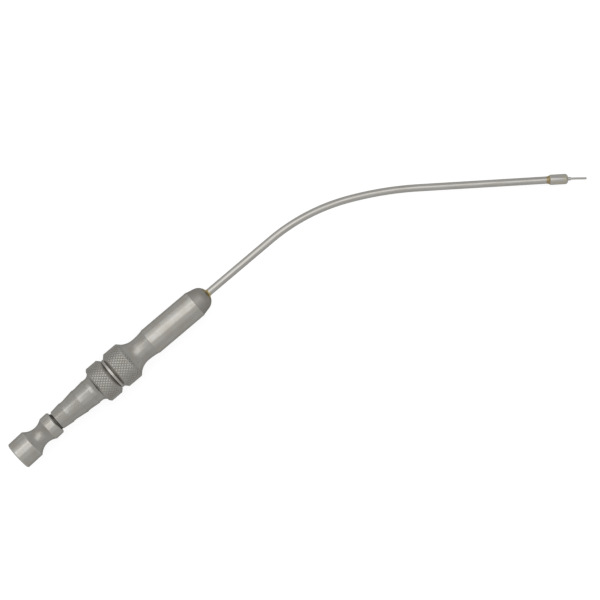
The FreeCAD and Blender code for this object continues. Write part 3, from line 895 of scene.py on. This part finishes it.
# Tip nozzle: a small turned sleeve pushed over the end of the tube and brazed there, with rounded
# shoulders and a fine nipple that the bore is drawn in to. The brazing has tinted it faintly.
NOZZLE_OUT = 1.75
NOZZLE_LENGTH = 6.2
NOZZLE_REAR_EDGE = 0.15
NOZZLE_FRONT_EDGE = 0.75
NOZZLE_FRONT_RADIUS = 1.05
NOZZLE_SEAT = 3.5
NOZZLE_FLOOR = 4.5
NOZZLE_BORE_OUT = 0.43
NIPPLE_OUT = 0.575
NIPPLE_LENGTH = 1.05
NOZZLE_SIDES = 96
nozzle_outline = softened(
    [
        (0, TUBE_SOCKET_OUT, 0, THIN_BREAK),
        (0, NOZZLE_OUT - NOZZLE_REAR_EDGE, 0, 0),
        (NOZZLE_REAR_EDGE, NOZZLE_OUT, 0, FINE_BREAK),
        (NOZZLE_LENGTH - NOZZLE_FRONT_EDGE, NOZZLE_OUT, 0, 0),
        (NOZZLE_LENGTH, NOZZLE_OUT - NOZZLE_FRONT_EDGE, NOZZLE_FRONT_RADIUS, FINE_BREAK),
        (NOZZLE_LENGTH, NIPPLE_OUT, 0, BORE_BREAK),
        (NOZZLE_LENGTH + NIPPLE_LENGTH, NIPPLE_OUT, 0, FINE_BREAK),
        (NOZZLE_LENGTH + NIPPLE_LENGTH, NOZZLE_BORE_OUT, 0, THIN_BREAK),
        (NOZZLE_FLOOR, NOZZLE_BORE_OUT, 0, 0),
        (NOZZLE_SEAT, TUBE_BORE_OUT, 0, 0),
        (NOZZLE_SEAT, TUBE_SOCKET_OUT, 0, 0),
    ]
)
tube_end = tube_place @ tube_route(tube_length)
nozzle_place = tube_end @ Matrix.Translation((-NOZZLE_SEAT, 0, 0))
nozzle_satin = steel(
    "nozzle_satin",
    colour=(0.3, 0.296, 0.306),
    warm=(0.318, 0.298, 0.24),
    roughness=0.22,
    lines=0.5,
    grain=0.5,
    location=nozzle_place.translation,
    turn=nozzle_place.to_euler(),
)[0]
finish_piece(
    "fine_nozzle",
    [turned("nozzle_turning", nozzle_outline, sides=NOZZLE_SIDES)],
    [nozzle_satin],
    "tip_nozzle",
    nozzle_place,
)

# Tip braze: more of the same metal, drawn out thin along the tube behind the nozzle, and browner
# than the nose's because it was heated longer.
TIP_BRAZE_LENGTH = 1.2
TIP_BRAZE_HEIGHT = 0.36
TIP_BRAZE_RADIUS = 2.4
TIP_BRAZE_FLAT = 0.04
tip_braze_front = TIP_BRAZE_LENGTH + TIP_BRAZE_FLAT
tip_gold = braze("tip_gold", colour=(0.27, 0.215, 0.115), dark=(0.19, 0.145, 0.08), roughness=0.38)
tip_braze_outline = softened(
    [
        (0, TUBE_OUT + BRAZE_LAP, 0, 0),
        (TIP_BRAZE_LENGTH, TUBE_OUT + TIP_BRAZE_HEIGHT, -TIP_BRAZE_RADIUS, 0),
        (tip_braze_front, TUBE_OUT + TIP_BRAZE_HEIGHT, 0, 0),
        (tip_braze_front, TUBE_OUT - BRAZE_LAP, 0, 0),
        (0, TUBE_OUT - BRAZE_LAP, 0, 0),
    ]
)
finish_piece(
    "tip_fillet",
    [turned("tip_fillet_turning", tip_braze_outline, sides=TUBE_SIDES)],
    [tip_gold],
    "tip_braze",
    nozzle_place @ Matrix.Translation((-TIP_BRAZE_LENGTH, 0, 0)),
)

# Hose connector: one bar turned to three shallow steps that hold the suction hose, a knurled ring
# and a short thread screwed into the handle. Its bore opens into a wider mouth at the rear.
HOSE_END_OUT = 3.55
HOSE_END_EDGE = 0.15
FIRST_BARB = 4.2
FIRST_BARB_OUT = 4.05
FIRST_LAND = FIRST_BARB + 1.35
FIRST_LAND_OUT = 3.9
SECOND_BARB = FIRST_LAND + 4.75
SECOND_BARB_OUT = 4.575
SECOND_LAND = SECOND_BARB + 1.2
SECOND_LAND_OUT = 4.45
THIRD_BARB = SECOND_LAND + 3.6
THIRD_BARB_OUT = 4.825
THIRD_LAND = THIRD_BARB + 1.0
THIRD_LAND_OUT = 4.675
FLARE_RADIUS = 2.2
FLARE_LENGTH = 2.0
CONNECTOR_RING = THIRD_LAND + FLARE_LENGTH
CONNECTOR_FACE = CONNECTOR_RING + 6.1
CONNECTOR_RING_EDGE = 0.65
UNION_BEVEL = 1.05
UNION_SEAM = 0.2
THREAD_OUT = 3.95
THREAD_CHAMFER = 0.4
THREAD_END = CONNECTOR_FACE + 7.3
RELIEF_OUT = THREAD_OUT - 0.45
RELIEF_END = CONNECTOR_FACE + 0.8
CONNECTOR_BORE_OUT = 1.6
MOUTH_OUT = 2.4
MOUTH_DEPTH = 4.2
connector_band_end = CONNECTOR_FACE - UNION_BEVEL + HANDLE_RING_EDGE
flare_out = THIRD_LAND_OUT + FLARE_RADIUS - math.sqrt(FLARE_RADIUS ** 2 - FLARE_LENGTH ** 2)
connector_outline = softened(
    [
        (connector_band_end, RING_OUT - HANDLE_RING_EDGE, 0, 0),
        (CONNECTOR_FACE, RING_OUT - UNION_BEVEL, 0, EDGE_BREAK),
        (CONNECTOR_FACE, RELIEF_OUT, 0, 0),
        (RELIEF_END, RELIEF_OUT, 0, 0),
        (RELIEF_END + THREAD_OUT - RELIEF_OUT, THREAD_OUT, 0, 0),
        (THREAD_END - THREAD_CHAMFER, THREAD_OUT, 0, 0),
        (THREAD_END, THREAD_OUT - THREAD_CHAMFER, 0, 0),
        (THREAD_END, CONNECTOR_BORE_OUT, 0, 0),
        (MOUTH_DEPTH + MOUTH_OUT - CONNECTOR_BORE_OUT, CONNECTOR_BORE_OUT, 0, 0),
        (MOUTH_DEPTH, MOUTH_OUT, 0, 0),
        (0, MOUTH_OUT, 0, FINE_BREAK),
        (0, HOSE_END_OUT - HOSE_END_EDGE, 0, 0),
        (HOSE_END_EDGE, HOSE_END_OUT, 0, FINE_BREAK),
        (FIRST_BARB, FIRST_BARB_OUT, 0, EDGE_BREAK),
        (FIRST_BARB, FIRST_LAND_OUT, 0, 0),
        (FIRST_LAND, FIRST_LAND_OUT, 0, 0),
        (SECOND_BARB, SECOND_BARB_OUT, 0, EDGE_BREAK),
        (SECOND_BARB, SECOND_LAND_OUT, 0, 0),
        (SECOND_LAND, SECOND_LAND_OUT, 0, 0),
        (THIRD_BARB, THIRD_BARB_OUT, 0, EDGE_BREAK),
        (THIRD_BARB, THIRD_LAND_OUT, 0, 0),
        (THIRD_LAND, THIRD_LAND_OUT, 0, 0),
        (CONNECTOR_RING, flare_out, -FLARE_RADIUS, 0),
        (CONNECTOR_RING, RING_OUT - CONNECTOR_RING_EDGE, 0, 0),
    ],
    closed=False,
)
connector_satin = steel(
    "connector_satin",
    colour=(0.265, 0.258, 0.241),
    warm=(0.25, 0.238, 0.214),
    roughness=0.26,
    lines=0.9,
    grain=0.6,
)[0]
finish_piece(
    "connector",
    [
        turned("connector_turning", connector_outline, closed=False),
        knurled_band(
            "connector_band",
            start=CONNECTOR_RING,
            width=connector_band_end - CONNECTOR_RING,
            rear_out=RING_OUT - CONNECTOR_RING_EDGE,
            front_out=RING_OUT - HANDLE_RING_EDGE,
            front_cut=0.0,
            finish=knurled_satin,
        ),
    ],
    [connector_satin, knurled_satin],
    "hose_connector",
    LYING @ Matrix.Translation((-UNION_SEAM - CONNECTOR_FACE, 0, 0)),
)

# Union seal: a flat polymer washer squeezed deep inside the union, which keeps the solid's shape.
seal_polymer, tree, shader = new_material("seal_polymer")
seal_cloud = noise_of(tree, local_place(tree, seam), scale=1.2, detail=3.0)
seal_tone = blended(tree, seal_cloud, (0.86, 0.86, 0.83, 1), (0.74, 0.73, 0.68, 1))
seal_roughness = maths(tree, "ADD", 0.4, maths(tree, "MULTIPLY", seal_cloud, 0.2))
seal_bump = add_node(
    tree,
    "ShaderNodeBump",
    {"Height": seal_cloud, "Strength": 0.2, "Distance": 2e-5},
)
tree.links.new(seal_tone, shader.inputs["Base Color"])
tree.links.new(seal_roughness, shader.inputs["Roughness"])
tree.links.new(seal_bump.outputs[0], shader.inputs["Normal"])
seal = frame["nodes"]["union_seal"]
seal.data.materials.clear()
seal.data.materials.append(seal_polymer)

# Stylet knob: a spool turned from bar, pushed home by its loose spigot, so that it sits a little
# askew and leaves a dark gap before the connector's end.
KNOB_OUT = 5.2
KNOB_DISC = 6.5
KNOB_FLANGE = KNOB_DISC + 7.4
KNOB_FLANGE_OUT = 4.4
KNOB_FRONT = KNOB_FLANGE + 3.4
KNOB_WAIST_RADIUS = 5.65
KNOB_EDGE = 0.3
KNOB_FLANGE_EDGE = 0.4
COLLAR_OUT = 3.25
COLLAR_WIDTH = 0.5
SPIGOT_OUT = 2.1
SPIGOT_FRONT = KNOB_FRONT + 2.6
KNOB_GAP = 0.7
KNOB_TILT = math.radians(2.2)
WIRE_OUT = 0.35
WIRE_HOLE_OUT = WIRE_OUT + 0.01
WIRE_GRIP = 9.0
KINK_RADIUS = 20.0
knob_outline = softened(
    [
        (0, 0, 0, 0),
        (0, KNOB_OUT - KNOB_EDGE, 0, EDGE_BREAK),
        (KNOB_EDGE, KNOB_OUT, 0, EDGE_BREAK),
        (KNOB_DISC, KNOB_OUT, 0, SOFT_BREAK),
        (KNOB_FLANGE, KNOB_FLANGE_OUT, -KNOB_WAIST_RADIUS, EDGE_BREAK),
        (KNOB_FRONT - KNOB_FLANGE_EDGE, KNOB_FLANGE_OUT, 0, FINE_BREAK),
        (KNOB_FRONT, KNOB_FLANGE_OUT - KNOB_FLANGE_EDGE, 0, FINE_BREAK),
        (KNOB_FRONT, COLLAR_OUT, 0, 0),
    ],
    closed=False,
)
spigot_outline = softened(
    [
        (KNOB_FRONT, COLLAR_OUT, 0, 0),
        (KNOB_FRONT + COLLAR_WIDTH, COLLAR_OUT, 0, FINE_BREAK),
        (KNOB_FRONT + COLLAR_WIDTH, SPIGOT_OUT, 0, 0),
        (SPIGOT_FRONT - KNOB_EDGE, SPIGOT_OUT, 0, FINE_BREAK),
        (SPIGOT_FRONT, SPIGOT_OUT - KNOB_EDGE, 0, FINE_BREAK),
        (SPIGOT_FRONT, WIRE_HOLE_OUT, 0, 0),
        (SPIGOT_FRONT - WIRE_GRIP, WIRE_HOLE_OUT, 0, 0),
        (SPIGOT_FRONT - WIRE_GRIP, 0, 0, 0),
    ],
    closed=False,
)
# The hollow's steel is painted darker than the disc and the flange, painted shade in the concave
# waist, and is left a little rougher.
hollow_ends = [
    next(index for index, point in enumerate(knob_outline) if point[0] > place)
    for place in (KNOB_DISC + KNOB_EDGE / 2, KNOB_FLANGE - KNOB_EDGE / 2)
]
disc_outline = knob_outline[:hollow_ends[0] + 1]
hollow_outline = knob_outline[hollow_ends[0]:hollow_ends[1] + 1]
flange_outline = knob_outline[hollow_ends[1]:]
kink_reach = KINK_RADIUS * math.tan(KNOB_TILT / 2)
pivot = -UNION_SEAM - CONNECTOR_FACE - KNOB_GAP + SPIGOT_FRONT - KNOB_FRONT + kink_reach
askew = LYING @ Matrix.Translation((pivot, 0, 0)) @ Matrix.Rotation(KNOB_TILT, 4, "Z")
knob_place = askew @ Matrix.Translation((-SPIGOT_FRONT - kink_reach, 0, 0))
on_knob = {"location": knob_place.translation, "turn": knob_place.to_euler()}
knob_satin = steel(
    "knob_satin",
    SATIN,
    SATIN_WARM,
    roughness=0.25,
    lines=0.5,
    grain=0.35,
    **on_knob,
)[0]
# A darker copy of the knob's steel: painted shade in the hollow.
shaded_hollow_satin = steel(
    "shaded_hollow_satin",
    colour=(0.25, 0.243, 0.227),
    warm=(0.236, 0.224, 0.201),
    roughness=0.28,
    lines=0.5,
    grain=0.5,
    **on_knob,
)[0]
# The spigot and its collar are painted near black: painted shade in the narrow gap before the
# connector's end.
gap_shade_steel = steel(
    "gap_shade_steel",
    colour=(0.085, 0.08, 0.072),
    warm=(0.06, 0.053, 0.044),
    roughness=0.45,
    lines=0.5,
    grain=0.6,
    **on_knob,
)[0]
KNOB_SIDES = 192
finish_piece(
    "spool_knob",
    [
        turned("disc_turning", disc_outline, closed=False, sides=KNOB_SIDES),
        turned("hollow_turning", hollow_outline, closed=False, sides=KNOB_SIDES),
        turned("flange_turning", flange_outline, closed=False, sides=KNOB_SIDES),
        turned("spigot_turning", spigot_outline, closed=False, sides=KNOB_SIDES),
    ],
    [knob_satin, shaded_hollow_satin, knob_satin, gap_shade_steel],
    "stylet_knob",
    knob_place,
)

# Stylet wire: one length of spring wire from the knob through the connector, handle and tube, which
# keeps the bore clear. Its rounded end stands out of the nozzle, where it has taken a slight set.
WIRE_END_ROUND = 0.12
WIRE_SIDES = 32
PIN_BEND_RADIUS = 45.0
PIN_BEND = math.radians(2.7)
PIN_END_RUN = 3.3
wire_moves = [
    (WIRE_GRIP, 0),
    (KINK_RADIUS, KNOB_TILT),
    (NOSE_FRONT + TUBE_STRAIGHT - pivot - kink_reach, 0),
    *BENDS,
    (TUBE_END_RUN - NOZZLE_SEAT + NOZZLE_LENGTH + NIPPLE_LENGTH, 0),
    (PIN_BEND_RADIUS, PIN_BEND),
    (PIN_END_RUN, 0),
]
wire_length = route_length(wire_moves)
wire_outline = [(0, 0, 0), (0, WIRE_OUT, 0)]
wire_outline += [(along, WIRE_OUT, 0) for along in steps_between(0, wire_length - WIRE_END_ROUND)]
# The corner's first point only gives the rounding its direction.
wire_outline += softened(
    [
        (wire_length - WIRE_END_ROUND * 2, WIRE_OUT, 0, 0),
        (wire_length, WIRE_OUT, 0, WIRE_END_ROUND),
        (wire_length, 0, 0, 0),
    ],
    closed=False,
)[1:]
wire_turned = turned(
    "wire_drawing",
    wire_outline,
    closed=False,
    sides=WIRE_SIDES,
    route=route_through(wire_moves),
)
wire_drawn = drawn_steel(
    "wire_drawn",
    colour=(0.28, 0.272, 0.26),
    streak_colour=(0.23, 0.222, 0.206),
    roughness=0.3,
    streaks=1.6,
)
finish_piece(
    "stylet_pin",
    [wire_turned],
    [wire_drawn],
    "stylet_wire",
    askew @ Matrix.Translation((-WIRE_GRIP - kink_reach, 0, 0)),
)

# Floor: a plain white table that runs out of sight. What the camera and the steel see of it is
# white, and it keeps the piece's soft shadow.
FLOOR_REACH = 4.0
floor_corners = [
    (x * FLOOR_REACH, y * FLOOR_REACH, 0) for x, y in ((-1, -1), (1, -1), (1, 1), (-1, 1))
]
floor_mesh = bpy.data.meshes.new("floor")
floor_mesh.from_pydata(floor_corners, [], [(0, 1, 2, 3)])
floor = bpy.data.objects.new("floor", floor_mesh)
bpy.context.collection.objects.link(floor)


def seen(tree):
    """1 where a surface is seen by the camera, or in a reflection or through glass."""
    rays = add_node(tree, "ShaderNodeLightPath").outputs
    reflected = maths(tree, "MAXIMUM", rays["Is Glossy Ray"], rays["Is Transmission Ray"])
    return maths(tree, "MAXIMUM", rays["Is Camera Ray"], reflected)


FLOOR_GLOW = 0.84
FLOOR_WHITE = (0.2, 0.2, 0.2, 1)
white_table, tree, shader = new_material("white_table")
shader.inputs["Base Color"].default_value = FLOOR_WHITE
shader.inputs["Roughness"].default_value = 0.9
shader.inputs["Specular IOR Level"].default_value = 0.0
shader.inputs["Emission Color"].default_value = (1, 1, 1, 1)
tree.links.new(maths(tree, "MULTIPLY", seen(tree), FLOOR_GLOW), shader.inputs["Emission Strength"])
floor_mesh.materials.append(white_table)

# Studio: white all round for the steel to reflect, and soft panels above it. A broad one and a
# nearer one make the wide light on the handle's left, a narrow one the fine line on the hose cone,
# and one towards the tip the light on the tube and nozzle. A faint one overhead softens the rest.
SURROUND = 0.8
world = bpy.data.worlds.new("surround")
world.use_nodes = True
bpy.context.scene.world = world
tree = world.node_tree
strength = maths(tree, "MAXIMUM", seen(tree), SURROUND)
tree.links.new(strength, tree.nodes["Background"].inputs["Strength"])
tree.nodes["Background"].inputs["Color"].default_value = (1, 1, 1, 1)

LAMP_DISTANCE = 2.8
LAMP_COLOUR = (0.97, 0.985, 1)


def panel(name, low, high, lean, spread, glow):
    """A soft panel aimed at the middle, from one angle to another off overhead towards the left.

    It leans to the tip and reaches as far as its spread each way, and its glow is how bright it is
    seen."""
    tilt = math.radians(low + high) / 2
    light = bpy.data.lights.new(name, "AREA")
    light.shape = "RECTANGLE"
    light.size = 2 * LAMP_DISTANCE * math.tan(math.radians(spread))
    light.size_y = 2 * LAMP_DISTANCE * math.tan(math.radians(high - low) / 2)
    light.energy = glow * math.pi * light.size * light.size_y
    light.color = LAMP_COLOUR
    lamp = bpy.data.objects.new(name, light)
    turn = Matrix.Rotation(math.radians(lean), 4, "Y") @ Matrix.Rotation(-tilt, 4, "X")
    lamp.matrix_world = turn @ Matrix.Translation((0, 0, LAMP_DISTANCE))
    bpy.context.collection.objects.link(lamp)


panel("broad_panel", low=-12, high=71, lean=-1, spread=10, glow=0.62)
panel("near_panel", low=-12, high=36, lean=-1, spread=10, glow=0.55)
panel("narrow_panel", low=26, high=32, lean=-18, spread=9, glow=1.8)
panel("top_panel", low=-50, high=50, lean=0, spread=30, glow=0.24)
panel("tip_panel", low=-14, high=30, lean=22, spread=12, glow=0.9)

# Camera: straight above the table, turned so that the handle lies as the photograph shows it.
IMAGE_SIDE = 600
PIXEL = 0.34 * MM
HANDLE_SLOPE = math.radians(40.2)
SEAM_PIXEL = (111.9, 374.15)
LENS = 200
SENSOR = 36
camera_data = bpy.data.cameras.new("camera")
camera_data.lens = LENS
camera_data.sensor_width = SENSOR
right = Vector((math.cos(HANDLE_SLOPE), -math.sin(HANDLE_SLOPE), 0))
image_up = Vector((math.sin(HANDLE_SLOPE), math.cos(HANDLE_SLOPE), 0))
to_middle = right * (IMAGE_SIDE / 2 - SEAM_PIXEL[0]) + image_up * (SEAM_PIXEL[1] - IMAGE_SIDE / 2)
height = IMAGE_SIDE * PIXEL * LENS / SENSOR
camera = bpy.data.objects.new("camera", camera_data)
camera.location = seam + to_middle * PIXEL + Vector((0, 0, height))
camera.rotation_euler = Euler((0, 0, -HANDLE_SLOPE))
bpy.context.collection.objects.link(camera)
bpy.context.scene.camera = camera
bpy.context.scene.view_settings.view_transform = "Standard"
